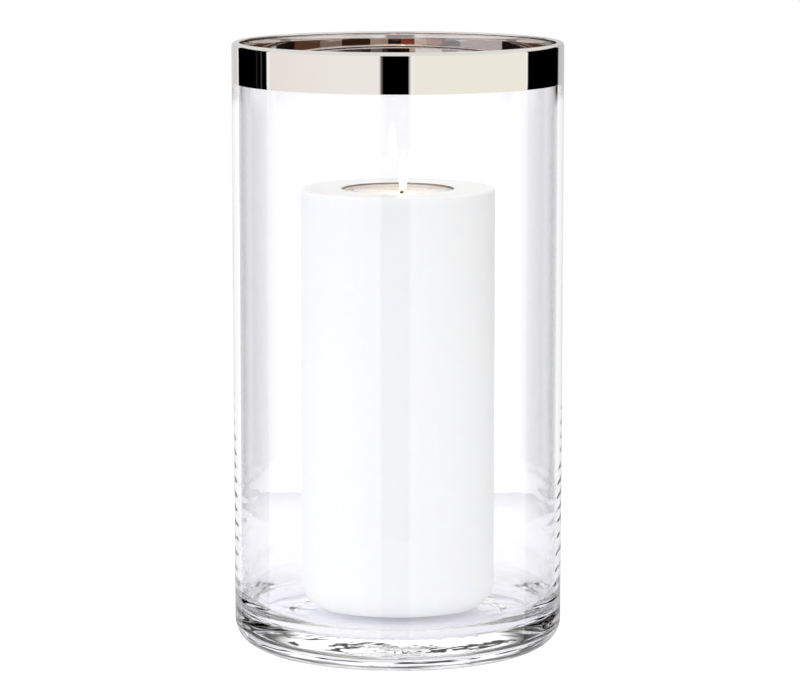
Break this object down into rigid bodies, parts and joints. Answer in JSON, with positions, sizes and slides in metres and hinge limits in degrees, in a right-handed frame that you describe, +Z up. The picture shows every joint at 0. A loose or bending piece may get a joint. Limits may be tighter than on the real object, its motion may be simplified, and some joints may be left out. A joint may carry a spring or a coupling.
{
  "type": "hurricane candle lantern",
  "caption": "Clear glass cylinder with a mirror metal rim, holding a reusable white pillar candle with a tealight in its top.",
  "frame": {"origin": "centre of the glass foot, on the surface the lantern stands on", "axes": "+Z up along the axis of the glass and the candle; the wick bends over towards +X"},
  "size_m": [0.17, 0.17, 0.312],
  "materials": {
    "clear_glass": "polished, hand blown, faintly rippled low down",
    "platinum": "mirror film",
    "ivory_shell": "wax look, satin",
    "plug_plastic": "moulded, satin",
    "felt": "pressed felt",
    "liner_steel": "drawn, satin",
    "cup_aluminium": "bright, pressed",
    "wax": "poured wax, slightly translucent",
    "wick_cotton": "braided, charred at the tip",
    "tinplate": "stamped"
  },
  "bodies": {
    "glass": {"hurricane_glass": "clear_glass", "platinum_rim": "platinum"},
    "candle": {"candle_shell": "ivory_shell", "candle_base_plug": "plug_plastic", "felt_pad": "felt", "pocket_liner": "liner_steel"},
    "tealight": {"tealight_cup": "cup_aluminium", "tealight_wax": "wax", "wick": "wick_cotton", "wick_sustainer": "tinplate"}
  },
  "joints": [
    {"name": "candle_lift", "type": "slide", "parent": "glass", "child": "candle", "axis": [0, 0, 1], "range_m": [0, 0.3]},
    {"name": "tealight_lift", "type": "slide", "parent": "candle", "child": "tealight", "axis": [0, 0, 1], "range_m": [0, 0.11]}
  ]
}
